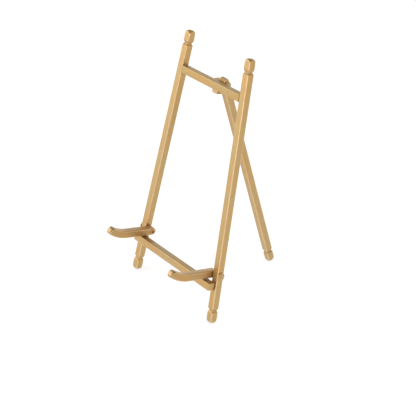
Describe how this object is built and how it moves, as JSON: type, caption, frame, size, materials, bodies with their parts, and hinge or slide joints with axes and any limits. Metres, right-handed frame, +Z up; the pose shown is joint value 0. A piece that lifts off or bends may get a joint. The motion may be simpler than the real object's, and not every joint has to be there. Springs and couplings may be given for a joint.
{
  "type": "tabletop display easel",
  "caption": "Leaning frame of square metal bar with grooved finials, riveted arms turned up at the tips, and a folding rear leg; holds a picture, plate or book.",
  "frame": {"origin": "middle of the footprint, on the surface that the easel stands on", "axes": "+Z up, -Y towards the viewer that the easel faces, +X to that viewer's right"},
  "size_m": [0.1482, 0.1829, 0.2825],
  "materials": {
    "bars": "satin, lacquered pale gold",
    "rivets": "satin, slightly polished on the heads",
    "washers": "bright sheet",
    "welds": "satin, finely rippled"
  },
  "bodies": {
    "frame": {"left_upright": "bars", "right_upright": "bars", "top_crossbar": "bars", "lower_crossbar": "bars", "hinge_lug": "bars", "leg_rivet": "rivets", "left_arm_rivet": "rivets", "right_arm_rivet": "rivets", "leg_washer": "washers", "left_arm_washer": "washers", "right_arm_washer": "washers", "top_bar_welds": "welds", "lower_bar_welds": "welds", "lug_welds": "welds"},
    "leg": {"rear_leg": "bars"},
    "left_arm": {"left_arm": "bars"},
    "right_arm": {"right_arm": "bars"}
  },
  "joints": [
    {"name": "leg_hinge", "type": "hinge", "parent": "frame", "child": "leg", "pos_m": [0.00915, 0.01786, 0.23957], "axis": [-1, 0, 0], "range_deg": [0, 31.4]},
    {"name": "left_arm_pivot", "type": "hinge", "parent": "frame", "child": "left_arm", "pos_m": [-0.05716, -0.03495, 0.0521], "axis": [-0.9976, 0.0156, 0.067], "range_deg": [-8.8, 90]},
    {"name": "right_arm_pivot", "type": "hinge", "parent": "frame", "child": "right_arm", "pos_m": [0.05716, -0.03495, 0.0521], "axis": [-0.9976, -0.0156, -0.067], "range_deg": [-8.8, 90]}
  ]
}
